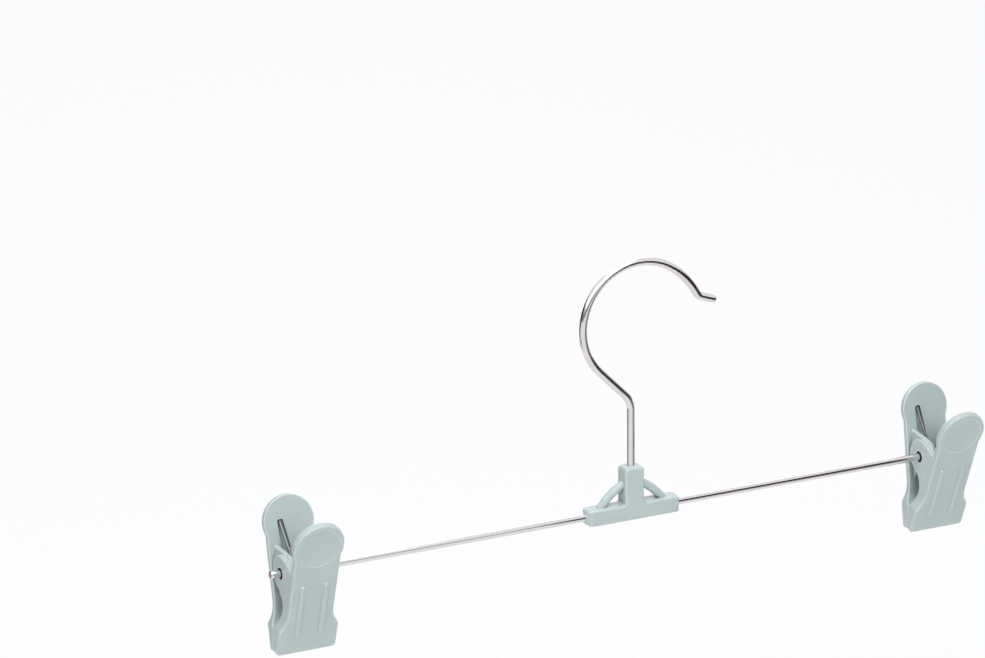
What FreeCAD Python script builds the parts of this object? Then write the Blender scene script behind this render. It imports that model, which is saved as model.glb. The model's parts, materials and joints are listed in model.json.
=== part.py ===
import FreeCAD, Part
import math
import os

V = FreeCAD.Vector

# Crossbar
bar_length = 310.0
bar_d = 3.0
bar_head_d = 3.5
bar_head_length = 1.6
bar_head_round = 0.6

# Hook wire; heights are measured up from the crossbar's axis
hook_d = 3.2
loop_x = 4.0
loop_z = 76.0
loop_r = 24.8
shank_bend_r = 9.0
shank_bend_angle = 45.0
loop_end_angle = 60.0
ease_r = 34.0
ease_end_angle = 29.5
tip_bend_r = 4.0
tip_heading = -19.5
tip_length = 5.6

# Hook's upset head and the running clearance of the swivel
hook_head_d = 4.6
hook_head_height = 1.8
hook_foot_z = 5.0
swivel_clearance = 0.06
head_end_play = 0.15

# Connector: a sleeve on the bar, a post round the hook's shank and two bowed struts
sleeve_length = 41.0
sleeve_height = 6.6
connector_depth = 7.2
sleeve_end_round = 2.6
sleeve_corner_round = 1.6
post_width = 8.4
post_top_z = 18.3
post_corner_round = 1.6
post_foot_round = 0.8
connector_edge_round = 1.0
strut_d = 3.4
strut_top_z = 11.5
strut_foot_x = 14.4
strut_bulge = 1.2
strut_sink = 1.6

# Clips: where they stand on the bar and how far they have swung round it
left_clip_from_end = 13.7
right_clip_from_end = 12.8
left_clip_swing = 3.3
right_clip_swing = 7.2

# Jaw: heights are measured along the plate from the pivot
jaw_tilt = 14.8
plate_out = 11.2
plate_thick = 2.8
jaw_bottom_z = -31.1
pad_z = 17.8
pad_r = 10.4
grip_half_width = 12.4
waist_half_width = 9.5
bottom_corner_r = 1.6
flare_top_z = -12.0
flare_r = 12.0
shoulder_r = 2.5
neck_r = 3.0
jaw_edge_round = 0.9
pad_inner_round = 0.4

# Finger dish, ribs and spring slot
dish_d = 16.8
dish_step = 0.2
dish_depth = 0.6
rib_x = 4.85
rib_r = 1.2
rib_rise = 1.0
rib_bottom_z = -23.4
rib_top_z = 1.3
slot_end_gap = 0.8
slot_bottom_z = 7.4
slot_lean = 1.5
slot_top_width = 2.4
slot_bottom_width = 4.0
slot_depth = 1.2
slot_round = 0.7

# Grip faces
grip_gap = 0.3
grip_top_z = -20.8
throat_r = 8.0
groove_count = 4
groove_pitch = 2.2
groove_r = 0.7
groove_depth = 0.45
groove_length = 19.0
groove_from_bottom = 2.4

# Ears; the outer one runs on as a side wall, cut away by a lens-shaped opening
ear_r = 7.2
ear_thick = 2.0
ear_clearance = 0.3
outer_ear_top_z = 7.0
inner_ear_top_z = 9.6
ear_fillet_r = 5.0
ear_sink = 1.8
ear_edge_round = 0.6
lens_setback = 1.9
lens_z = -13.4
pivot_clearance = 0.08
counterbore_d = 4.8
counterbore_depth = 1.4

# Spring
spring_wire_d = 1.1
coil_r = 2.5
coil_turns = 2
leg_x = 3.8
leg_reach_z = 18.4
leg_rest_gap = 0.15
coil_steps = 10
gap_samples = 24

bar_r = bar_d / 2
hook_r = hook_d / 2
left_clip_x = left_clip_from_end - bar_length / 2
right_clip_x = bar_length / 2 - right_clip_from_end
plate_in = plate_out - plate_thick
slot_top_z = leg_reach_z + slot_end_gap
cos_tilt = math.cos(math.radians(jaw_tilt))
sin_tilt = math.sin(math.radians(jaw_tilt))
seat_z = loop_z + math.sqrt((loop_r - hook_r) ** 2 - loop_x ** 2)
ear_out = waist_half_width
ear_in = ear_out - ear_thick - ear_clearance

# Cutting tools reach past what they cut by the margin, or far past the whole piece
margin = 1.0
far = 60.0
same_plane = 1e-4


def line(a, b):
    return Part.LineSegment(a, b).toShape()


def arc(a, m, b):
    return Part.Arc(a, m, b).toShape()


def on_circle(centre_x, centre_z, radius, degrees):
    a = math.radians(degrees)
    return V(centre_x + radius * math.cos(a), 0, centre_z + radius * math.sin(a))


def round_arc(circle, start, end):
    """Arc of a circle, given as centre and radius, from one angle to another."""
    a, m, b = (on_circle(*circle, degrees) for degrees in (start, (start + end) / 2, end))
    return arc(a, m, b)


def joined(corners):
    """Edges round a closed outline; each corner is a point and the radius it is rounded with."""
    starts = []
    for i, (corner, radius) in enumerate(corners):
        before = (corners[i - 1][0] - corner).normalize()
        after = (corners[(i + 1) % len(corners)][0] - corner).normalize()
        half = math.acos(max(-1.0, min(1.0, before.dot(after)))) / 2
        run = radius / math.tan(half)
        middle = (before + after).normalize()
        crown = corner + middle * (radius / math.sin(half) - radius)
        starts.append((corner + before * run, crown, corner + after * run, radius))
    edges = []
    for i, (a, crown, b, radius) in enumerate(starts):
        if radius > 0:
            edges.append(arc(a, crown, b))
        edges.append(line(b, starts[(i + 1) % len(starts)][0]))
    return edges


def slab(edges, low, high):
    """Solid between two distances along the normal of a flat outline."""
    face = Part.Face(Part.Wire(edges))
    normal = face.normalAt(0, 0)
    along = V(abs(normal.x), abs(normal.y), abs(normal.z))
    face.translate(along * low)
    return face.extrude(along * (high - low))


def tube(edges, diameter):
    first = edges[0]
    start = first.valueAt(first.FirstParameter)
    heading = first.tangentAt(first.FirstParameter)
    ring = Part.Wire(Part.Circle(start, heading, diameter / 2).toShape())
    shell = Part.BRepOffsetAPI.MakePipeShell(Part.Wire(edges))
    shell.add(ring)
    shell.build()
    shell.makeSolid()
    return shell.shape()


def edges_at(shape, axis, value):
    """Edges that lie wholly in the plane where the coordinate has the value."""
    found = []
    for edge in shape.Edges:
        middle = (edge.FirstParameter + edge.LastParameter) / 2
        points = [edge.valueAt(p) for p in (edge.FirstParameter, middle, edge.LastParameter)]
        if all(abs(getattr(p, axis) - value) < same_plane for p in points):
            found.append(edge)
    return found


def make_hook():
    turn = math.radians(shank_bend_angle)
    cos_t = math.cos(turn)
    sin_t = math.sin(turn)
    bend_z = loop_z - (loop_r + shank_bend_r - (loop_x + shank_bend_r) * cos_t) / sin_t
    foot = V(0, 0, hook_foot_z)
    bend = (-shank_bend_r, bend_z, shank_bend_r)
    loop = (loop_x, loop_z, loop_r)
    loop_b = on_circle(*loop, loop_end_angle)
    back = on_circle(0, 0, ease_r, loop_end_angle)
    ease = (loop_b.x - back.x, loop_b.z - back.z, ease_r)
    tip_c = on_circle(ease[0], ease[1], ease_r + tip_bend_r, ease_end_angle)
    tip = (tip_c.x, tip_c.z, tip_bend_r)
    bends = [
        round_arc(bend, 0, shank_bend_angle),
        round_arc(loop, 180 + shank_bend_angle, loop_end_angle),
        round_arc(ease, loop_end_angle, ease_end_angle),
        round_arc(tip, ease_end_angle + 180, tip_heading + 270),
    ]
    loop_a = on_circle(*loop, 180 + shank_bend_angle)
    tip_b = on_circle(*tip, tip_heading + 270)
    tip_end = tip_b + on_circle(0, 0, tip_length, tip_heading)
    runs = [
        line(foot, on_circle(*bend, 0)),
        line(on_circle(*bend, shank_bend_angle), loop_a),
        line(tip_b, tip_end),
    ]
    wire = tube([runs[0], bends[0], runs[1], bends[1], bends[2], bends[3], runs[2]], hook_d)
    head = Part.makeCylinder(hook_head_d / 2, hook_head_height, foot)
    return wire.fuse([head, Part.makeSphere(hook_r, tip_end)]).removeSplitter()


def make_strut(side):
    """Round rod that bows from the post's side down to the sleeve's top, both ends sunk in."""
    a = V(side * (post_width / 2 - strut_sink), 0, strut_top_z)
    b = V(side * strut_foot_x, 0, sleeve_height / 2 - strut_sink)
    chord = b - a
    out = V(-side * chord.z, 0, side * chord.x).normalize()
    return tube([arc(a, (a + b) * 0.5 + out * strut_bulge, b)], strut_d)


def make_connector():
    end = sleeve_length / 2
    top = sleeve_height / 2
    side = post_width / 2
    depth = connector_depth / 2
    tee = slab(joined([
        (V(-end, 0, -top), sleeve_corner_round),
        (V(end, 0, -top), sleeve_corner_round),
        (V(end, 0, top), sleeve_corner_round),
        (V(side, 0, top), post_foot_round),
        (V(side, 0, post_top_z), post_corner_round),
        (V(-side, 0, post_top_z), post_corner_round),
        (V(-side, 0, top), post_foot_round),
        (V(-end, 0, top), sleeve_corner_round),
    ]), -depth, depth)
    plan = slab(joined([
        (V(-end, -depth, 0), sleeve_end_round),
        (V(end, -depth, 0), sleeve_end_round),
        (V(end, depth, 0), sleeve_end_round),
        (V(-end, depth, 0), sleeve_end_round),
    ]), -far, far)
    faces = [e for y in (-depth, depth) for e in edges_at(tee, "y", y)]
    tee = tee.makeFillet(connector_edge_round, faces).common(plan)
    body = tee.fuse([make_strut(-1), make_strut(1)]).removeSplitter()
    along = V(1, 0, 0)
    up = V(0, 0, 1)
    cuts = [Part.makeCylinder(bar_r, 2 * far, V(-far, 0, 0), along)]
    cuts.append(Part.makeCylinder(hook_r + swivel_clearance, far, V(0, 0, hook_foot_z), up))
    pocket_height = hook_head_height + 2 * head_end_play
    pocket_foot = V(0, 0, hook_foot_z - head_end_play)
    cuts.append(Part.makeCylinder(hook_head_d / 2 + swivel_clearance, pocket_height, pocket_foot, up))
    return body.cut(cuts)


def make_crossbar():
    end = bar_length / 2
    along = V(1, 0, 0)
    start = V(-end + bar_head_length / 2, 0, 0)
    rod = Part.makeCylinder(bar_r, bar_length - bar_head_length, start, along)
    for side in (-1, 1):
        head = Part.makeCylinder(bar_head_d / 2, bar_head_length, V(side * end, 0, 0), along * -side)
        head = head.makeFillet(bar_head_round, edges_at(head, "x", side * end))
        rod = rod.fuse(head)
    return rod.removeSplitter()


def jaw_outline():
    """Outline of the plate seen square on: grip end, flare to the waist, neck and round finger pad."""
    flare_c = V(waist_half_width + flare_r, 0, flare_top_z)
    reach = flare_r + shoulder_r
    drop = math.sqrt(reach ** 2 - (reach - grip_half_width + waist_half_width) ** 2)
    shoulder_c = V(grip_half_width - shoulder_r, 0, flare_top_z - drop)
    step = (shoulder_c - flare_c).normalize()
    meet = flare_c + step * flare_r
    shoulder_m = shoulder_c + (V(1, 0, 0) - step).normalize() * shoulder_r
    flare_m = flare_c + (V(-1, 0, 0) + step).normalize() * flare_r
    neck_c_z = pad_z - math.sqrt((pad_r + neck_r) ** 2 - (waist_half_width + neck_r) ** 2)
    neck_c = V(waist_half_width + neck_r, 0, neck_c_z)
    lift = (neck_c - V(0, 0, pad_z)).normalize()
    pad_a = V(0, 0, pad_z) + lift * pad_r
    neck_m = neck_c + (V(-1, 0, 0) - lift).normalize() * neck_r
    corner_c = V(grip_half_width - bottom_corner_r, 0, jaw_bottom_z + bottom_corner_r)
    slant = math.sqrt(0.5) * bottom_corner_r
    right = [
        (V(corner_c.x, 0, jaw_bottom_z), corner_c + V(slant, 0, -slant), V(grip_half_width, 0, corner_c.z)),
        (V(grip_half_width, 0, shoulder_c.z), shoulder_m, meet),
        (meet, flare_m, V(waist_half_width, 0, flare_top_z)),
        (V(waist_half_width, 0, neck_c_z), neck_m, pad_a),
    ]
    edges = []
    for sign in (1, -1):
        last = V(0, 0, jaw_bottom_z)
        run = []
        for a, m, b in right:
            points = [V(sign * p.x, 0, p.z) for p in (a, m, b)]
            if (points[0] - last).Length > same_plane:
                run.append(line(last, points[0]))
            run.append(arc(*points))
            last = points[2]
        edges.extend(run if sign > 0 else run[::-1])
    pad_b = V(-pad_a.x, 0, pad_a.z)
    crown = arc(pad_a, V(0, 0, pad_z + pad_r), pad_b)
    return Part.__sortEdges__(edges + [crown])


def grip_y(z):
    """How far in the grip face stands, at a height along the plate."""
    return (z * sin_tilt - grip_gap / 2) / cos_tilt


def jaw_side():
    """Section of the plate and the grip wedge, with the round throat that leads from one to the other."""
    top = pad_z + pad_r + margin
    bottom = jaw_bottom_z - margin
    lip_y = grip_y(grip_top_z)
    throat_y = -plate_in + throat_r
    throat_z = grip_top_z + math.sqrt(throat_r ** 2 - (lip_y - throat_y) ** 2)
    lip = V(0, lip_y, grip_top_z)
    start = V(0, -plate_in, throat_z)
    centre = V(0, throat_y, throat_z)
    middle = centre + (start + lip - centre * 2).normalize() * throat_r
    corners = [
        V(0, grip_y(bottom), bottom),
        V(0, -plate_out, bottom),
        V(0, -plate_out, top),
        V(0, -plate_in, top),
    ]
    edges = [line(lip, corners[0])]
    edges += [line(corners[i], corners[i + 1]) for i in range(3)]
    edges += [line(corners[3], start), arc(start, middle, lip)]
    return edges


def upright(y, z):
    """Point of the section, given as the jaw stands with its grip face upright."""
    return V(0, y * cos_tilt + z * sin_tilt, z * cos_tilt - y * sin_tilt)


def bulge(a, centre, b):
    """Arc between two points round a centre, the short way."""
    radius = (a - centre).Length
    return arc(a, centre + (a + b - centre * 2).normalize() * radius, b)


def ear_top(low, top_z):
    """Upper edges of an ear: out of the plate, down its slope and round the pivot to a low point."""
    root = V(0, -plate_out + ear_sink, top_z)
    top = V(0, -plate_in, top_z)
    touch = math.atan2(top.z, top.y) - math.acos(ear_r / top.Length)
    back = (touch + math.atan2(low.z, low.y)) / 2
    touching = V(0, math.cos(touch), math.sin(touch)) * ear_r
    crown = V(0, math.cos(back), math.sin(back)) * ear_r
    return [line(root, top), line(top, touching), arc(touching, crown, low)]


def ear_side():
    """Section of the inner ear: a disc round the pivot that runs into the plate above and below."""
    centre_y = -plate_in + ear_fillet_r
    centre_z = -math.sqrt((ear_fillet_r + ear_r) ** 2 - centre_y ** 2)
    centre = V(0, centre_y, centre_z)
    low = V(centre).normalize() * ear_r
    foot = V(0, -plate_in, centre_z)
    root = V(0, -plate_out + ear_sink, centre_z)
    head = V(0, root.y, inner_ear_top_z)
    return ear_top(low, head.z) + [bulge(low, centre, foot), line(foot, root), line(root, head)]


def wall_side():
    """Section of the outer ear and the side wall below it, which the lens opening draws in."""
    lip = V(0, grip_y(grip_top_z), grip_top_z)
    lip_drop = lip.y * sin_tilt + lip.z * cos_tilt - lens_z
    lip_step = lens_setback - grip_gap / 2
    upper_r = (lens_setback ** 2 + lens_z ** 2 - ear_r ** 2) / (2 * (ear_r + lens_setback))
    lower_r = (lip_step ** 2 + lip_drop ** 2) / (2 * lip_step)
    upper_c = upright(upper_r - lens_setback, lens_z)
    lower_c = upright(lower_r - lens_setback, lens_z)
    waist = upright(-lens_setback, lens_z)
    low = V(upper_c).normalize() * ear_r
    root = V(0, -plate_out + ear_sink, grip_top_z)
    head = V(0, root.y, outer_ear_top_z)
    lens = [bulge(low, upper_c, waist), bulge(waist, lower_c, lip)]
    return ear_top(low, head.z) + lens + [line(lip, root), line(root, head)]


def make_rib(x):
    y = -plate_out + rib_r - rib_rise
    end = math.sqrt(rib_r ** 2 - (rib_r - rib_rise) ** 2)
    low = V(x, y, rib_bottom_z + end)
    high = V(x, y, rib_top_z - end)
    rod = Part.makeCylinder(rib_r, high.z - low.z, low)
    return rod.fuse([Part.makeSphere(rib_r, low), Part.makeSphere(rib_r, high)]).removeSplitter()


def make_slot():
    top = slot_top_width / 2
    bottom = slot_bottom_width / 2
    foot_x = leg_x - slot_lean
    edges = joined([
        (V(foot_x - bottom, 0, slot_bottom_z), slot_round),
        (V(foot_x + bottom, 0, slot_bottom_z), slot_round),
        (V(leg_x + top, 0, slot_top_z), slot_round),
        (V(leg_x - top, 0, slot_top_z), slot_round),
    ])
    return slab(edges, -plate_in - slot_depth, -plate_in + slot_depth)


def round_ear(ear, *sides):
    """The ear with its edges on the given sides rounded, except where it is sunk into the plate."""
    root_y = -plate_out + ear_sink
    rims = [e for x in sides for e in edges_at(ear, "x", x)]
    return ear.makeFillet(ear_edge_round, [e for e in rims if e.BoundBox.YMax > root_y + same_plane])


def make_jaw():
    """A front jaw with its pivot at the origin, tilted so that its grip face stands upright."""
    blank = slab(jaw_outline(), -plate_out - margin, far)
    body = blank.common(slab(jaw_side(), -far, far))
    body = body.makeFillet(jaw_edge_round, edges_at(body, "y", -plate_out))
    pad_rim = [e for e in edges_at(body, "y", -plate_in) if e.BoundBox.ZMax > 0]
    body = body.makeFillet(pad_inner_round, pad_rim)
    along = V(1, 0, 0)
    wall = round_ear(blank.common(slab(wall_side(), -far, -ear_out + ear_thick)), -ear_out)
    inner_ear = round_ear(slab(ear_side(), ear_in - ear_thick, ear_in), ear_in - ear_thick, ear_in)
    body = body.fuse([wall, inner_ear, make_rib(-rib_x), make_rib(rib_x)]).removeSplitter()
    dish_ball = (dish_d ** 2 / 4 + dish_depth ** 2) / (2 * dish_depth)
    dish_floor = -plate_out + dish_step + dish_depth
    ball = Part.makeSphere(dish_ball, V(0, dish_floor - dish_ball, pad_z))
    drum_foot = V(0, -plate_out - margin, pad_z)
    drum = Part.makeCylinder(dish_d / 2, dish_floor - drum_foot.y, drum_foot, V(0, 1, 0))
    pivot = Part.makeCylinder(bar_r + pivot_clearance, far, V(-far / 2, 0, 0), along)
    sink = Part.makeCylinder(counterbore_d / 2, far, V(-ear_out + counterbore_depth, 0, 0), along * -1)
    body = body.cut([drum.common(ball), make_slot(), pivot, sink])
    body.rotate(V(0, 0, 0), along, jaw_tilt)
    bottom_z = grip_y(jaw_bottom_z) * sin_tilt + jaw_bottom_z * cos_tilt
    grooves = []
    for i in range(groove_count):
        z = bottom_z + groove_from_bottom + i * groove_pitch
        y = -grip_gap / 2 + groove_r - groove_depth
        grooves.append(Part.makeCylinder(groove_r, groove_length, V(-groove_length / 2, y, z), along))
    return body.cut(grooves)


def biarc(p, t, q, u):
    """Two arcs that lead from a point and heading to another point and heading, smoothly."""
    v = q - p
    both = v.dot(t + u)
    spread = 2 * (1 - t.dot(u))
    d = (-both + math.sqrt(both ** 2 + spread * v.dot(v))) / spread
    meet = (p + q + (t - u) * d) * 0.5
    edges = []
    for a, b, corner in ((p, meet, p + t * d), (meet, q, q - u * d)):
        chord = b - a
        middle = (a + b) * 0.5
        rise = corner - middle
        turn = math.atan2(rise.Length, chord.Length / 2)
        edges.append(arc(a, middle + rise.normalize() * (chord.Length / 2 * math.tan(turn / 2)), b))
    return edges


def make_spring():
    """Torsion spring round the bar: a leg down from the back pad, the turns, a leg up to the front pad.
    The wire moves sideways at one steady rate, along the legs as well as round the turns."""
    rest_y = -plate_in - slot_depth + spring_wire_d / 2 + leg_rest_gap
    reach = V(leg_x, rest_y, leg_reach_z)
    end = FreeCAD.Rotation(V(1, 0, 0), jaw_tilt).multVec(reach)
    span = math.hypot(end.y, end.z)
    front = math.atan2(end.z, end.y) + math.acos(coil_r / span)
    first = math.pi - front
    total = 2 * math.pi * coil_turns + first - (front - 2 * math.pi)
    leg_run = math.sqrt(span ** 2 - coil_r ** 2)
    rate = leg_x / (total / 2 + leg_run / coil_r)

    def spot(turned):
        a = first - turned
        point = V(rate * (turned - total / 2), coil_r * math.cos(a), coil_r * math.sin(a))
        heading = V(rate, coil_r * math.sin(a), -coil_r * math.cos(a))
        return point, heading.normalize()

    spots = [spot(total * i / coil_steps) for i in range(coil_steps + 1)]
    edges = [line(V(-end.x, -end.y, end.z), spots[0][0])]
    for (p, t), (q, u) in zip(spots, spots[1:]):
        edges += biarc(p, t, q, u)
    edges.append(line(spots[-1][0], end))
    points = [p for e in edges for p in e.discretize(Number=gap_samples)[:-1]]
    runs = [0.0]
    for a, b in zip(points, points[1:]):
        runs.append(runs[-1] + (b - a).Length)
    apart = math.pi * coil_r
    least = min((points[i] - points[j]).Length
                for i in range(len(points)) for j in range(i) if runs[i] - runs[j] > apart)
    print("least gap of the spring to itself, mm: %.2f" % (least - spring_wire_d))
    return tube(edges, spring_wire_d)


def export(shape, name):
    placed = shape.copy()
    placed.translate(V(0, 0, -seat_z))
    facts = (name, placed.isValid(), len(placed.Solids), placed.Volume)
    print("%-16s valid %s  solids %d  volume %.1f" % facts)
    placed.exportStep("parts/%s.step" % name)


os.makedirs("parts", exist_ok=True)
export(make_hook(), "hook")
export(make_connector(), "connector")
export(make_crossbar(), "crossbar")
jaw = make_jaw()
turned_jaw = jaw.copy()
turned_jaw.rotate(V(0, 0, 0), V(0, 0, 1), 180)
spring = make_spring()
clips = (
    ("left", left_clip_x, left_clip_swing),
    ("right", right_clip_x, right_clip_swing),
)
for clip, x, swing in clips:
    for shape, piece in ((jaw, "front_jaw"), (turned_jaw, "back_jaw"), (spring, "spring")):
        stood = shape.copy()
        stood.rotate(V(0, 0, 0), V(1, 0, 0), swing)
        stood.translate(V(x, 0, 0))
        export(stood, "%s_%s" % (clip, piece))
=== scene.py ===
import json
import math

import bpy
import numpy as np
from mathutils import Matrix, Vector


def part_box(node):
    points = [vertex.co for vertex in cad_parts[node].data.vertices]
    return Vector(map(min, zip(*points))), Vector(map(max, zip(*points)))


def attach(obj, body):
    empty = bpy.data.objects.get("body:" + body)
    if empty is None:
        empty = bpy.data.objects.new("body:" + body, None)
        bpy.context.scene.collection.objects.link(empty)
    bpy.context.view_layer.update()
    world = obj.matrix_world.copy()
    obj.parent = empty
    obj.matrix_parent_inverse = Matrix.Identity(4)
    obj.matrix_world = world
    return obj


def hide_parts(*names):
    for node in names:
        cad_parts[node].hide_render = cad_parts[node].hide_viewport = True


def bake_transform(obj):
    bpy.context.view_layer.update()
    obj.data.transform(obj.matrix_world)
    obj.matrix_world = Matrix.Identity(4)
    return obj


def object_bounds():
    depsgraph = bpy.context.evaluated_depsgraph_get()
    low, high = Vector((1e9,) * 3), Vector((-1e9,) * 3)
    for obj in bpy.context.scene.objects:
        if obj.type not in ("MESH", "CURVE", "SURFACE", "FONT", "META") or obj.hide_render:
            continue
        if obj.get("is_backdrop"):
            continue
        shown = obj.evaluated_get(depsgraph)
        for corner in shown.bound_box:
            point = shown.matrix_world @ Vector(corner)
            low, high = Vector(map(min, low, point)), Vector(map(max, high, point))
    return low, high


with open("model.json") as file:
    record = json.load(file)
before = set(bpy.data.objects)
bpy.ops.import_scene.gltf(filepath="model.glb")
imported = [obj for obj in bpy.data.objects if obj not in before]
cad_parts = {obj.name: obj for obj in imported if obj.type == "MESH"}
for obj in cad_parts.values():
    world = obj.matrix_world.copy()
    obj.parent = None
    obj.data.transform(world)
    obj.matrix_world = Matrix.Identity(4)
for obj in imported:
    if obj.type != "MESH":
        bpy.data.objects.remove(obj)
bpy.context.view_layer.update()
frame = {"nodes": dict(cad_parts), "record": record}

bl_info = {
    "name": "Skirt hanger",
    "version": (1, 0, 0),
    "blender": (4, 5, 0),
    "location": "View3D > Sidebar > Hanger",
    "description": "Wires, springs, mouldings and studio of a skirt hanger with two sprung clips",
    "category": "Object",
}

MM = 0.001
FULL_TURN = 2 * math.pi
QUARTER = math.pi / 2
BAR_Z = float(sum(corner.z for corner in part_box("crossbar")) / 2)
ALONG = np.array([1.0, 0.0, 0.0])
AWAY = np.array([0.0, 1.0, 0.0])
UP = np.array([0.0, 0.0, 1.0])
# sides of the round profiles, and the angle from which an edge of a wire stays sharp in the shading
WIRE_SIDES = 48
SPRING_SIDES = 20
WIRE_CREASE = math.radians(40)


def linear(hex_colour):
    """sRGB hex to linear RGB: each channel is undone by the sRGB curve."""
    channels = [int(hex_colour[i:i + 2], 16) / 255 for i in (0, 2, 4)]
    return tuple(c / 12.92 if c <= 0.04045 else ((c + 0.055) / 1.055) ** 2.4 for c in channels)


def length(name, description, millimetres):
    return bpy.props.FloatProperty(
        name=name, description=description, default=millimetres * MM, unit="LENGTH", precision=5)


def angle(name, description, degrees):
    return bpy.props.FloatProperty(
        name=name, description=description, default=math.radians(degrees), subtype="ANGLE")


def colour(name, description, hex_colour):
    return bpy.props.FloatVectorProperty(
        name=name, description=description, default=linear(hex_colour),
        subtype="COLOR", size=3, min=0, max=1)


class HangerSizes(bpy.types.PropertyGroup):
    """Sizes of the wires and springs; they repeat those of the solids."""
    hook_wire: length("Hook wire", "Diameter of the hook's wire", 3.2)
    loop_radius: length("Loop radius", "Radius of the hook's loop at the middle of the wire", 24.8)
    loop_side: length("Loop offset", "How far the loop's centre stands to the side of the shank", 4.0)
    loop_height: length("Loop height", "Height of the loop's centre above the bar's axis", 76.0)
    loop_end: angle("Loop end", "Where round the loop its curve starts to ease", 60.0)
    shank_bend: length("Shank bend", "Radius of the bend at the top of the shank", 9.0)
    shank_turn: angle("Shank turn", "How far the shank bends aside", 45.0)
    ease_radius: length("Easing radius", "Radius of the flatter curve after the loop", 34.0)
    ease_end: angle("Easing end", "Where round its circle the flatter curve ends", 29.5)
    tip_bend: length("Tip bend", "Radius of the bend before the tip", 4.0)
    tip_heading: angle("Tip heading", "Slope of the tip", -19.5)
    tip_length: length("Tip length", "Straight run of the tip", 5.6)
    hook_head: length("Hook head", "Diameter of the upset head inside the connector", 4.6)
    hook_head_height: length("Hook head height", "Height of the upset head", 1.8)
    hook_foot: length("Hook foot", "Height of the hook's lower end above the bar's axis", 5.0)
    bar_wire: length("Bar wire", "Diameter of the crossbar", 3.0)
    bar_head: length("Bar head", "Diameter of the peened ends of the crossbar", 3.5)
    bar_head_length: length("Bar head length", "Length of a peened end", 1.6)
    bar_head_round: length("Bar head rounding", "Rounding of a peened end's rim", 0.6)
    spring_wire: length("Spring wire", "Diameter of the spring wire", 1.1)
    coil_radius: length("Coil radius", "Radius of the spring's turns at the middle of the wire", 2.5)
    leg_side: length("Leg offset", "How far a spring's leg stands to the side of its clip's middle", 3.8)
    leg_out: length("Leg rest", "How far from the bar's axis a leg rests, square to the plate", 8.9)
    leg_up: length("Leg reach", "How far up the plate a leg reaches", 18.4)
    jaw_tilt: angle("Jaw tilt", "How far a jaw's plate leans from its grip face", 14.8)


class HangerColours(bpy.types.PropertyGroup):
    """Colours of the finishes and of the stage."""
    plastic: colour("Plastic", "Sage grey of the mouldings", "B8C5C4")
    plastic_deep: colour("Plastic, deeper", "Where the moulding's surface is a shade deeper", "B0BEBE")
    # painted highlight: a lighter colour on rounded edges and ribs, standing for the light lines they catch
    painted_edge_highlight: colour("Plastic, edges", "Rounded edges and ribs, rubbed lighter", "DCE6E5")
    # painted shade: a dark colour in slots, holes, inner corners and gaps between the pieces
    painted_hollow_shade: colour("Plastic, hollows", "Dust in slots, holes and inner corners", "4C5656")
    scuff: colour("Scuffs", "Fine rubbed marks on the mouldings", "C6CFCF")
    chrome: colour("Chrome", "Bright plating of the hook and the bar", "E6E4E4")
    chrome_dull: colour("Chrome, duller", "Where the plating is thin along the drawing lines", "D3CFCF")
    spring_steel: colour("Spring steel", "Drawn wire of the springs", "9C9C9A")
    spring_dark: colour("Spring steel, darker", "Drawing lines of the springs' wire", "7C7C7A")
    floor: colour("Floor", "Pale studio floor", "F4F4F4")
    flag_top: colour("Flags, top", "Top of the cards that put the dark lines into the chrome", "121111")
    flag_foot: colour("Flags, foot", "Foot of those cards, paler", "B0AAA7")


class HangerStudio(bpy.types.PropertyGroup):
    """Lamps, surroundings and camera."""
    key_power: bpy.props.FloatProperty(
        name="Key", description="Power of the softbox at the upper left", default=6.5, unit="POWER")
    front_power: bpy.props.FloatProperty(
        name="Front", description="Power of the softbox in front", default=6.5, unit="POWER")
    top_power: bpy.props.FloatProperty(
        name="Top", description="Power of the softbox overhead", default=13.0, unit="POWER")
    back_power: bpy.props.FloatProperty(
        name="Back", description="Power of the softbox behind", default=4.0, unit="POWER")
    surround: bpy.props.FloatProperty(
        name="Surround", description="Strength of the light from all round", default=0.36, min=0)
    floor_drop: length("Floor drop", "How far below the grips the floor lies", 90.0)
    camera_turn: angle("Camera turn", "How far the camera stands round to the left", -26.457)
    camera_rise: angle("Camera rise", "How far the camera looks down", 17.291)
    camera_roll: angle("Camera roll", "How far the picture leans", -0.712)
    camera_place: bpy.props.FloatVectorProperty(
        name="Camera place", description="Where the camera stands, from the middle of the bar",
        default=(-0.76581, -1.41870, 0.57651), subtype="TRANSLATION", unit="LENGTH", size=3)
    lens: bpy.props.FloatProperty(
        name="Lens", description="Focal length on a sensor 36 mm wide", default=159.1, unit="CAMERA")


def add(tree, kind, inputs=(), **settings):
    """Adds a node, sets its settings, and gives each named input a value or a link."""
    node = tree.nodes.new(kind)
    for name, value in settings.items():
        setattr(node, name, value)
    for name, value in dict(inputs).items():
        socket = node.inputs[name]
        if isinstance(value, bpy.types.NodeSocket):
            tree.links.new(value, socket)
        else:
            socket.default_value = value
    return node


def new_material(name):
    material = bpy.data.materials.new(name)
    material.use_nodes = True
    material.node_tree.nodes.clear()
    return material, material.node_tree


def rgba(rgb):
    return (rgb[0], rgb[1], rgb[2], 1.0)


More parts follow.
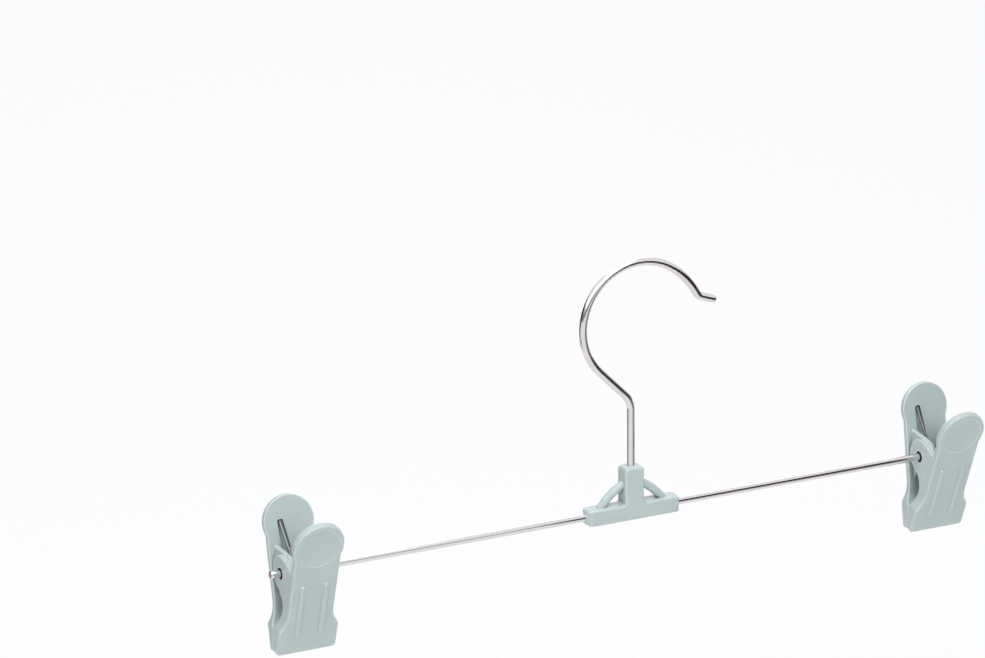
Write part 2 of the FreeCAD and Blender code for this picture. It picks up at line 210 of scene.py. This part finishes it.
def sage_moulded_abs():
    """Moulded ABS from a fine spark-eroded mould."""
    # To the eye: satin, even colour, faint clouding where the melt flowed, a few rubbed streaks
    cloud_size = 14 * MM
    streak_wide, streak_long = 0.5 * MM, 6 * MM
    edge_depth = 0.45 * MM
    hollow_reach = 16 * MM
    skin_grain, skin_relief = 0.35 * MM, 0.02 * MM
    abs_ior = 1.53
    colours = bpy.context.scene.hanger_colours
    material, tree = new_material("sage_moulded_abs")
    spot = add(tree, "ShaderNodeTexCoord")
    place = spot.outputs["Object"]
    # flow clouds, between two shades of the plastic
    cloud = add(tree, "ShaderNodeTexNoise", {
        "Vector": place, "Scale": 1 / cloud_size, "Detail": 3.0, "Roughness": 0.55})
    tint = add(tree, "ShaderNodeMix", {
        "Factor": cloud.outputs["Fac"], "A": rgba(colours.plastic_deep), "B": rgba(colours.plastic),
    }, data_type="RGBA")
    # rubbed streaks, drawn upright as cloth and fingers leave them; only the noise's crests show
    stretch = add(tree, "ShaderNodeMapping", {
        "Vector": place, "Scale": (1 / streak_wide, 1 / streak_wide, 1 / streak_long)})
    streak = add(tree, "ShaderNodeTexNoise", {
        "Vector": stretch.outputs["Vector"], "Scale": 1.0, "Detail": 2.0})
    rubbed = add(tree, "ShaderNodeMapRange", {
        "Value": streak.outputs["Fac"], "From Min": 0.62, "From Max": 0.80, "To Max": 0.5})
    worn = add(tree, "ShaderNodeMix", {
        "Factor": rubbed.outputs["Result"], "A": tint.outputs["Result"], "B": rgba(colours.scuff),
    }, data_type="RGBA")
    # painted highlight on edges and ribs: lighter where less than half a millimetre of plastic lies behind
    # the surface
    edge = add(tree, "ShaderNodeAmbientOcclusion", {
        "Distance": edge_depth}, inside=True, only_local=True, samples=8)
    # the painted highlight is weaker where the surface looks straight to the front or back, as along the
    # rim of the finger dish
    facing = add(tree, "ShaderNodeSeparateXYZ", {"Vector": spot.outputs["Normal"]})
    square_on = add(tree, "ShaderNodeMath", {0: facing.outputs["Y"]}, operation="ABSOLUTE")
    most = add(tree, "ShaderNodeMapRange", {
        "Value": square_on.outputs["Value"], "From Min": 0.97, "From Max": 0.85,
        "To Min": 0.2, "To Max": 1.0})
    rim = add(tree, "ShaderNodeMapRange", {
        "Value": edge.outputs["AO"], "From Min": 0.985, "From Max": 0.86, "To Max": most.outputs["Result"]})
    edge_highlighted = add(tree, "ShaderNodeMix", {
        "Factor": rim.outputs["Result"], "A": worn.outputs["Result"], "B": rgba(colours.painted_edge_highlight),
    }, data_type="RGBA")
    # painted shade in hollows: darker where this and the next pieces shut the light out close by
    hollow = add(tree, "ShaderNodeAmbientOcclusion", {"Distance": hollow_reach}, samples=8)
    hollow_shade_mask = add(tree, "ShaderNodeMapRange", {
        "Value": hollow.outputs["AO"], "From Min": 0.42, "From Max": 0.15, "To Max": 1.0})
    hollow_shaded = add(tree, "ShaderNodeMix", {
        "Factor": hollow_shade_mask.outputs["Result"], "A": edge_highlighted.outputs["Result"], "B": rgba(colours.painted_hollow_shade),
    }, data_type="RGBA")
    # skin of the mould: a third of a millimetre, coarser than the real one so that it shows
    skin = add(tree, "ShaderNodeTexNoise", {"Vector": place, "Scale": 1 / skin_grain, "Detail": 2.0})
    gloss = add(tree, "ShaderNodeMapRange", {
        "Value": cloud.outputs["Fac"], "To Min": 0.30, "To Max": 0.40})
    rough = add(tree, "ShaderNodeMath", {
        0: rubbed.outputs["Result"], 1: 0.16, 2: gloss.outputs["Result"]}, operation="MULTIPLY_ADD")
    bump = add(tree, "ShaderNodeBump", {
        "Strength": 0.10, "Distance": skin_relief, "Height": skin.outputs["Fac"]})
    shader = add(tree, "ShaderNodeBsdfPrincipled", {
        "Base Color": hollow_shaded.outputs["Result"], "Roughness": rough.outputs["Value"],
        "Normal": bump.outputs["Normal"], "IOR": abs_ior})
    add(tree, "ShaderNodeOutputMaterial", {"Surface": shader.outputs["BSDF"]})
    return material


def drawn_wire(name, line_long, line_wide, bright, dark, smooth, dull):
    """Metal of a drawn wire, with lines that run along it and tell in colour, gloss and relief."""
    line_relief = 0.01 * MM
    material, tree = new_material(name)
    along = add(tree, "ShaderNodeUVMap", uv_map="along_wire").outputs["UV"]
    squeeze = add(tree, "ShaderNodeMapping", {
        "Vector": along, "Scale": (1 / line_long, 1 / line_wide, 1.0)})
    lines = add(tree, "ShaderNodeTexNoise", {
        "Vector": squeeze.outputs["Vector"], "Scale": 1.0, "Detail": 2.0})
    tint = add(tree, "ShaderNodeMix", {
        "Factor": lines.outputs["Fac"], "A": rgba(bright), "B": rgba(dark)}, data_type="RGBA")
    rough = add(tree, "ShaderNodeMapRange", {
        "Value": lines.outputs["Fac"], "To Min": smooth, "To Max": dull})
    bump = add(tree, "ShaderNodeBump", {
        "Strength": 0.05, "Distance": line_relief, "Height": lines.outputs["Fac"]})
    shader = add(tree, "ShaderNodeBsdfPrincipled", {
        "Base Color": tint.outputs["Result"], "Metallic": 1.0, "Roughness": rough.outputs["Result"],
        "Normal": bump.outputs["Normal"]})
    add(tree, "ShaderNodeOutputMaterial", {"Surface": shader.outputs["BSDF"]})
    return material


def bright_chrome_wire():
    """Chrome plating on drawn steel wire."""
    # To the eye: nearly a mirror, with faint lines along the wire that break the reflections up
    colours = bpy.context.scene.hanger_colours
    return drawn_wire(
        "bright_chrome_wire", line_long=30 * MM, line_wide=0.25 * MM,
        bright=colours.chrome, dark=colours.chrome_dull, smooth=0.05, dull=0.15)


def drawn_spring_steel():
    """Drawn spring wire, unplated."""
    # To the eye: grey steel, duller than the plating, with lines along the wire
    colours = bpy.context.scene.hanger_colours
    return drawn_wire(
        "drawn_spring_steel", line_long=12 * MM, line_wide=0.2 * MM,
        bright=colours.spring_steel, dark=colours.spring_dark, smooth=0.3, dull=0.5)


def finish_named(name, make):
    return bpy.data.materials.get(name) or make()


def unit(vectors):
    return vectors / np.linalg.norm(vectors, axis=-1, keepdims=True)


def straight(a, b, step=6 * MM):
    """Points and headings on a line: a + (b - a) t."""
    a, b = np.asarray(a, float), np.asarray(b, float)
    count = 2 + int(np.linalg.norm(b - a) / step)
    t = np.linspace(0, 1, count)[:, None]
    return a + (b - a) * t, np.repeat(unit(b - a)[None], count, axis=0)


def bend(centre, radius, start, end, step=math.radians(1.5)):
    """Points and headings on an arc in the hook's plane: centre + r (cos a, sin a), a from start to end."""
    count = 2 + int(abs(end - start) / step)
    a = np.linspace(start, end, count)[:, None]
    out = np.cos(a) * ALONG + np.sin(a) * UP
    heading = (np.cos(a) * UP - np.sin(a) * ALONG) * np.sign(end - start)
    return centre + radius * out, heading


def chain(*runs):
    """Runs of points and headings one after another, each joint's point kept once."""
    points = np.concatenate([runs[0][0]] + [run[0][1:] for run in runs[1:]])
    headings = np.concatenate([runs[0][1]] + [run[1][1:] for run in runs[1:]])
    return points, headings


def wire_surface(name, points, headings, radii, side, poles, sides):
    """A round profile carried along a path: point + r (cos v across + sin v upright), where across is
    square to the heading and to a fixed side direction; both ends close in a pole."""
    across = unit(np.cross(headings, side))
    upright = np.cross(across, headings)
    v = np.linspace(0, FULL_TURN, sides, endpoint=False)
    spokes = np.cos(v)[:, None] * across[:, None] + np.sin(v)[:, None] * upright[:, None]
    rings = points[:, None] + radii[:, None, None] * spokes
    count = len(points)
    i, j = np.meshgrid(np.arange(count - 1) * sides, np.arange(sides), indexing="ij")
    k = (j + 1) % sides
    quads = np.stack([i + j, i + sides + j, i + sides + k, i + k], axis=-1).reshape(-1, 4)
    first, last = count * sides, count * sides + 1
    j, k = j[0], k[0]
    start_fan = np.stack([np.full(sides, first), j, k], axis=1)
    end_fan = np.stack([np.full(sides, last), first - sides + k, first - sides + j], axis=1)
    vertices = np.concatenate([rings.reshape(-1, 3), np.asarray(poles, float)])
    mesh = bpy.data.meshes.new(name)
    mesh.from_pydata(vertices.tolist(), [], quads.tolist() + start_fan.tolist() + end_fan.tolist())
    run = np.concatenate([[0], np.cumsum(np.linalg.norm(np.diff(points, axis=0), axis=1))])
    girth = float(np.median(radii)) * v
    u_of = np.concatenate([np.repeat(run, sides), run[[0, -1]]])
    v_of = np.concatenate([np.tile(girth, count), girth[[0, 0]]])
    corners = np.zeros(len(mesh.loops), np.int32)
    mesh.loops.foreach_get("vertex_index", corners)
    layer = mesh.uv_layers.new(name="along_wire")
    layer.data.foreach_set("uv", np.stack([u_of, v_of], axis=1)[corners].astype(np.float32).ravel())
    mesh.shade_smooth()
    mesh.set_sharp_from_angle(angle=WIRE_CREASE)
    mesh.update()
    piece = bpy.data.objects.new(name, mesh)
    bpy.context.scene.collection.objects.link(piece)
    return piece


class HANGER_OT_mouldings(bpy.types.Operator):
    """Gives the connector and the four jaws their plastic, shaded smoothly over the rounded edges"""
    bl_idname = "hanger.mouldings"
    bl_label = "Mouldings"

    NODES = ("connector", "left_front_jaw", "left_back_jaw", "right_front_jaw", "right_back_jaw")
    # corners closer than this are one, and edges from this angle on stay sharp in the shading
    WELD_GAP = 0.002 * MM
    SHARP = math.radians(32)

    def execute(self, context):
        plastic = finish_named("sage_moulded_abs", sage_moulded_abs)
        for node in self.NODES:
            piece = frame["nodes"][node]
            piece.data.materials.clear()
            piece.data.materials.append(plastic)
            weld = piece.modifiers.new("join the triangles", "WELD")
            weld.merge_threshold = self.WELD_GAP
            part = piece.modifiers.new("part the sharp edges", "EDGE_SPLIT")
            part.split_angle = self.SHARP
            piece.modifiers.new("even shading", "WEIGHTED_NORMAL")
        return {"FINISHED"}


class HANGER_OT_crossbar(bpy.types.Operator):
    """Turns the crossbar: a straight wire whose ends are peened to low heads"""
    bl_idname = "hanger.crossbar"
    bl_label = "Crossbar"

    RIM_STEPS = 9

    def execute(self, context):
        s = context.scene.hanger_sizes
        low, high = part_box("crossbar")
        r, head, rim = s.bar_wire / 2, s.bar_head / 2, s.bar_head_round
        a = np.linspace(0, QUARTER, self.RIM_STEPS)
        # one end's profile: a quarter circle over the rim, then the head, then its back down to the wire
        end_x = np.concatenate([rim - rim * np.cos(a), [s.bar_head_length, s.bar_head_length]])
        end_r = np.concatenate([head - rim + rim * np.sin(a), [head, r]])
        wire = straight((low.x + s.bar_head_length, 0, 0), (high.x - s.bar_head_length, 0, 0))[0][1:-1, 0]
        x = np.concatenate([low.x + end_x, wire, (high.x - end_x)[::-1]])
        radii = np.concatenate([end_r, np.full(len(wire), r), end_r[::-1]])
        points = x[:, None] * ALONG + BAR_Z * UP
        headings = np.repeat(ALONG[None], len(x), axis=0)
        piece = wire_surface("crossbar_wire", points, headings, radii, AWAY, points[[0, -1]], WIRE_SIDES)
        piece.data.materials.append(finish_named("bright_chrome_wire", bright_chrome_wire))
        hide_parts("crossbar")
        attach(piece, "frame")
        return {"FINISHED"}


class HANGER_OT_hook(bpy.types.Operator):
    """Sweeps the hook: upset head that turns in the connector, shank, bend, loop, easing curve and tip"""
    bl_idname = "hanger.hook"
    bl_label = "Hook"

    DOME_STEPS = 11

    def execute(self, context):
        s = context.scene.hanger_sizes
        r = s.hook_wire / 2
        turn, half = s.shank_turn, math.pi
        loop_z = BAR_Z + s.loop_height
        drop = s.loop_radius + s.shank_bend - (s.loop_side + s.shank_bend) * math.cos(turn)
        shank_c = -s.shank_bend * ALONG + (loop_z - drop / math.sin(turn)) * UP
        loop_c = s.loop_side * ALONG + loop_z * UP
        shank = bend(shank_c, s.shank_bend, 0, turn)
        loop = bend(loop_c, s.loop_radius, half + turn, s.loop_end)
        spoke = math.cos(s.loop_end) * ALONG + math.sin(s.loop_end) * UP
        ease_c = loop_c + (s.loop_radius - s.ease_radius) * spoke
        ease = bend(ease_c, s.ease_radius, s.loop_end, s.ease_end)
        spoke = math.cos(s.ease_end) * ALONG + math.sin(s.ease_end) * UP
        tip_c = ease_c + (s.ease_radius + s.tip_bend) * spoke
        tip = bend(tip_c, s.tip_bend, half + s.ease_end, half + QUARTER + s.tip_heading)
        end = tip[0][-1] + tip[1][-1] * s.tip_length
        foot = (BAR_Z + s.hook_foot) * UP
        neck = foot + s.hook_head_height * UP
        points, headings = chain(
            straight(neck, shank[0][0]), shank, straight(shank[0][-1], loop[0][0]),
            loop, ease, tip, straight(tip[0][-1], end))
        # domed end: rings of radius r cos(a) at r sin(a) past the end
        a = np.linspace(0, QUARTER, self.DOME_STEPS)[1:-1]
        ahead = headings[-1]
        dome = end + ahead * (r * np.sin(a))[:, None]
        radii = np.concatenate([[s.hook_head / 2] * 2, np.full(len(points), r), r * np.cos(a)])
        points = np.concatenate([[foot, neck], points, dome])
        headings = np.concatenate([[UP, UP], headings, np.repeat(ahead[None], len(a), axis=0)])
        poles = [foot, end + ahead * r]
        piece = wire_surface("hook_wire", points, headings, radii, AWAY, poles, WIRE_SIDES)
        piece.data.materials.append(finish_named("bright_chrome_wire", bright_chrome_wire))
        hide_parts("hook")
        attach(piece, "hook")
        return {"FINISHED"}


def clip_swing(clip):
    """How far a clip has swung round the bar, from the axis of its grip in the record."""
    for mount in frame["record"]["mounts"]:
        if mount["name"] == clip + "_grip":
            return math.atan2(mount["axis"][1], -mount["axis"][2])
    raise RuntimeError("the record has no grip for the %s clip" % clip)


class HANGER_OT_springs(bpy.types.Operator):
    """Winds both springs: leg down from the back pad, turns round the bar, leg up to the front pad"""
    bl_idname = "hanger.springs"
    bl_label = "Springs"

    COIL_TURNS = 2
    COIL_STEPS = 160
    LEG_STEP = 1 * MM
    # width of the small slope that the cut leaves round a leg's end
    END_EDGE = 0.12 * MM
    BLEND_SHARE = 0.8

    def execute(self, context):
        s = context.scene.hanger_sizes
        end_y = -s.leg_out * math.cos(s.jaw_tilt) - s.leg_up * math.sin(s.jaw_tilt)
        end_z = s.leg_up * math.cos(s.jaw_tilt) - s.leg_out * math.sin(s.jaw_tilt)
        span = math.hypot(end_y, end_z)
        front = math.atan2(end_z, end_y) + math.acos(s.coil_radius / span)
        first = math.pi - front
        total = FULL_TURN * (self.COIL_TURNS + 1) + first - front
        # the wire moves sideways at one steady rate, along the legs as well as round the turns
        leg_run = math.sqrt(span ** 2 - s.coil_radius ** 2)
        rate = s.leg_side / (total / 2 + leg_run / s.coil_radius)
        turned = np.linspace(0, total, self.COIL_STEPS)
        a = first - turned
        x = rate * (turned - total / 2)
        spin = s.coil_radius * np.stack([np.cos(a), np.sin(a)])
        steady = np.full(len(a), rate)
        coil = (np.stack([x, spin[0], spin[1]], axis=1),
                unit(np.stack([steady, spin[1], -spin[0]], axis=1)))
        back_end = np.array([-s.leg_side, -end_y, end_z])
        front_end = np.array([s.leg_side, end_y, end_z])
        points, headings = chain(
            straight(back_end, coil[0][0], self.LEG_STEP), coil,
            straight(coil[0][-1], front_end, self.LEG_STEP))
        r, edge = s.spring_wire / 2, self.END_EDGE
        near = points[[0, -1]] + headings[[0, -1]] * [[edge], [-edge]]
        points = np.concatenate([points[:1], near[:1], points[1:-1], near[1:], points[-1:]])
        headings = np.concatenate([headings[:1], headings, headings[-1:]])
        radii = np.concatenate([[r - edge], np.full(len(points) - 2, r), [r - edge]])
        for clip in ("left", "right"):
            low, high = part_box(clip + "_spring")
            middle = (low + high).x / 2
            turn = np.array(Matrix.Rotation(clip_swing(clip), 3, "X")).T
            placed = points @ turn + middle * ALONG + BAR_Z * UP
            piece = wire_surface(
                clip + "_torsion_spring", placed, headings @ turn, radii,
                ALONG, placed[[0, -1]], SPRING_SIDES)
            piece.data.materials.append(finish_named("drawn_spring_steel", drawn_spring_steel))
            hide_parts(clip + "_spring")
            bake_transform(piece)
        return {"FINISHED"}


def seen_directly(tree):
    """One for a ray from the camera or from a reflection or a clear body, else nought."""
    path = add(tree, "ShaderNodeLightPath").outputs
    near = add(tree, "ShaderNodeMath", {
        0: path["Is Camera Ray"], 1: path["Is Glossy Ray"]}, operation="MAXIMUM")
    return add(tree, "ShaderNodeMath", {
        0: near.outputs["Value"], 1: path["Is Transmission Ray"]}, operation="MAXIMUM").outputs["Value"]


class HANGER_OT_stage(bpy.types.Operator):
    """Sets the studio: pale floor, soft lamps, white surroundings and a camera at the photograph's angle"""
    bl_idname = "hanger.stage"
    bl_label = "Stage"

    FLOOR_HALF = 4.0
    # share of the floor's white that is its own, so that the rest still takes the shadow
    FLOOR_GLOW = 0.85
    # the walls' light in reflections: how dim at the horizon, and the slopes between which it rises to full
    WALL_DIM = 0.25
    WALL_LOW, WALL_HIGH = 0.04, 0.40
    LAMP_SIZE = 1.2
    # feet of the flags: left and right end of each, from above
    FLAGS = {
        "right_flag": ((0.126, -0.324), (0.409, -0.041)),
        "left_flag": ((-0.366, 0.084), (-0.084, 0.366)),
    }
    # heights of the flags: up to where they are pale, from where they are black, and their upper edge
    FLAG_PALE = -0.16
    FLAG_BLACK = -0.03
    FLAG_TOP = 0.08
    # width of the camera's sensor in millimetres
    SENSOR = 36.0

    def execute(self, context):
        scene = context.scene
        scene.view_settings.view_transform = "Standard"
        self.lay_floor(scene)
        self.light_world(scene)
        self.hang_lamps(scene)
        self.set_flags(scene)
        self.stand_camera(scene)
        return {"FINISHED"}

    def floor_height(self, scene):
        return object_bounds()[0].z - scene.hanger_studio.floor_drop

    def lay_floor(self, scene):
        z, half = self.floor_height(scene), self.FLOOR_HALF
        corners = [(-half, -half, z), (half, -half, z), (half, half, z), (-half, half, z)]
        mesh = bpy.data.meshes.new("studio_floor")
        mesh.from_pydata(corners, [], [(0, 1, 2, 3)])
        material, tree = new_material("pale_matt_floor")
        paint = add(tree, "ShaderNodeBsdfDiffuse", {"Color": rgba(scene.hanger_colours.floor)})
        glow = add(tree, "ShaderNodeEmission", {"Color": (1, 1, 1, 1), "Strength": 1.0})
        # white to the camera and in reflections, but a part of the paint stays and takes the shadow
        share = add(tree, "ShaderNodeMath", {
            0: seen_directly(tree), 1: self.FLOOR_GLOW}, operation="MULTIPLY")
        mix = add(tree, "ShaderNodeMixShader", {
            0: share.outputs["Value"], 1: paint.outputs["BSDF"], 2: glow.outputs["Emission"]})
        add(tree, "ShaderNodeOutputMaterial", {"Surface": mix.outputs["Shader"]})
        mesh.materials.append(material)
        floor = bpy.data.objects.new("studio_floor", mesh)
        scene.collection.objects.link(floor)
        floor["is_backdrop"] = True

    def light_world(self, scene):
        world = bpy.data.worlds.new("studio")
        scene.world = world
        world.use_nodes = True
        tree = world.node_tree
        tree.nodes.clear()
        # white to the camera and in reflections, where it dims towards the horizon as a studio's walls do
        place = add(tree, "ShaderNodeTexCoord").outputs["Generated"]
        parts = add(tree, "ShaderNodeSeparateXYZ", {"Vector": place})
        height = add(tree, "ShaderNodeMath", {0: parts.outputs["Z"]}, operation="ABSOLUTE")
        walls = add(tree, "ShaderNodeMapRange", {
            "Value": height.outputs["Value"], "From Min": self.WALL_LOW, "From Max": self.WALL_HIGH,
            "To Min": self.WALL_DIM, "To Max": 1.0,
        }, interpolation_type="SMOOTHSTEP")
        camera = add(tree, "ShaderNodeLightPath").outputs["Is Camera Ray"]
        level = add(tree, "ShaderNodeMath", {0: camera, 1: walls.outputs["Result"]}, operation="MAXIMUM")
        white = add(tree, "ShaderNodeBackground", {
            "Color": (1, 1, 1, 1), "Strength": level.outputs["Value"]})
        soft = add(tree, "ShaderNodeBackground", {
            "Color": (1, 1, 1, 1), "Strength": scene.hanger_studio.surround})
        mix = add(tree, "ShaderNodeMixShader", {
            0: seen_directly(tree), 1: soft.outputs["Background"], 2: white.outputs["Background"]})
        add(tree, "ShaderNodeOutputWorld", {"Surface": mix.outputs["Shader"]})

    def hang_lamps(self, scene):
        studio = scene.hanger_studio
        for name, place, power in (
            ("key_softbox", (-1.2, -0.7, 0.9), studio.key_power),
            ("front_softbox", (-0.2, -1.2, 1.0), studio.front_power),
            ("top_softbox", (-0.1, -0.45, 1.3), studio.top_power),
            ("back_softbox", (0.4, 1.3, 0.7), studio.back_power),
        ):
            lamp = bpy.data.lights.new(name, "AREA")
            lamp.shape = "SQUARE"
            lamp.size = self.LAMP_SIZE
            lamp.energy = power
            stand = bpy.data.objects.new(name, lamp)
            stand.location = place
            aim = Vector((0, 0, BAR_Z)) - stand.location
            stand.rotation_euler = aim.to_track_quat("-Z", "Y").to_euler()
            scene.collection.objects.link(stand)

    def set_flags(self, scene):
        """Stands two graded cards by the hanger, which only reflections see; each is a flat sheet."""
        floor_z = self.floor_height(scene)
        colours = scene.hanger_colours
        material, tree = new_material("graded_flag_card")
        place = add(tree, "ShaderNodeTexCoord").outputs["Object"]
        parts = add(tree, "ShaderNodeSeparateXYZ", {"Vector": place})
        rise = add(tree, "ShaderNodeMapRange", {
            "Value": parts.outputs["Z"], "From Min": self.FLAG_PALE, "From Max": self.FLAG_BLACK})
        shade = add(tree, "ShaderNodeMix", {
            "Factor": rise.outputs["Result"], "A": rgba(colours.flag_foot), "B": rgba(colours.flag_top),
        }, data_type="RGBA")
        paint = add(tree, "ShaderNodeBsdfDiffuse", {"Color": shade.outputs["Result"]})
        add(tree, "ShaderNodeOutputMaterial", {"Surface": paint.outputs["BSDF"]})
        for name, (left, right) in self.FLAGS.items():
            corners = [(*left, floor_z), (*right, floor_z), (*right, self.FLAG_TOP), (*left, self.FLAG_TOP)]
            mesh = bpy.data.meshes.new(name)
            mesh.from_pydata(corners, [], [(0, 1, 2, 3)])
            mesh.materials.append(material)
            card = bpy.data.objects.new(name, mesh)
            scene.collection.objects.link(card)
            card.visible_camera = card.visible_diffuse = card.visible_shadow = False
            card.visible_transmission = card.visible_volume_scatter = False
            card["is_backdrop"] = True

    def stand_camera(self, scene):
        studio = scene.hanger_studio
        lens = bpy.data.cameras.new("camera")
        lens.sensor_width = self.SENSOR
        lens.lens = studio.lens
        camera = bpy.data.objects.new("camera", lens)
        # the camera looks along +Y, turns round Z, looks down, then leans
        look = (Matrix.Rotation(studio.camera_turn, 4, "Z")
                @ Matrix.Rotation(QUARTER - studio.camera_rise, 4, "X")
                @ Matrix.Rotation(studio.camera_roll, 4, "Z"))
        camera.matrix_world = Matrix.Translation(Vector(studio.camera_place) + Vector(BAR_Z * UP)) @ look
        scene.collection.objects.link(camera)
        scene.camera = camera


class HANGER_PT_panel(bpy.types.Panel):
    """Lists the steps, the sizes and the colours"""
    bl_idname = "HANGER_PT_panel"
    bl_label = "Skirt hanger"
    bl_space_type = "VIEW_3D"
    bl_region_type = "UI"
    bl_category = "Hanger"

    def draw(self, context):
        for step in STEPS:
            self.layout.operator(step.bl_idname)
        for group, owner in GROUPS.items():
            for name in group.__annotations__:
                self.layout.prop(getattr(context.scene, owner), name)


GROUPS = {HangerSizes: "hanger_sizes", HangerColours: "hanger_colours", HangerStudio: "hanger_studio"}
STEPS = (HANGER_OT_mouldings, HANGER_OT_crossbar, HANGER_OT_hook, HANGER_OT_springs, HANGER_OT_stage)
CLASSES = tuple(GROUPS) + STEPS + (HANGER_PT_panel,)


def register():
    for cls in CLASSES:
        bpy.utils.register_class(cls)
    for group, owner in GROUPS.items():
        setattr(bpy.types.Scene, owner, bpy.props.PointerProperty(type=group))


def unregister():
    for owner in GROUPS.values():
        delattr(bpy.types.Scene, owner)
    for cls in reversed(CLASSES):
        bpy.utils.unregister_class(cls)


def main():
    register()
    bpy.ops.hanger.mouldings()
    bpy.ops.hanger.crossbar()
    bpy.ops.hanger.hook()
    bpy.ops.hanger.springs()
    bpy.ops.hanger.stage()
    bpy.context.view_layer.update()


if __name__ == "__main__":
    main()
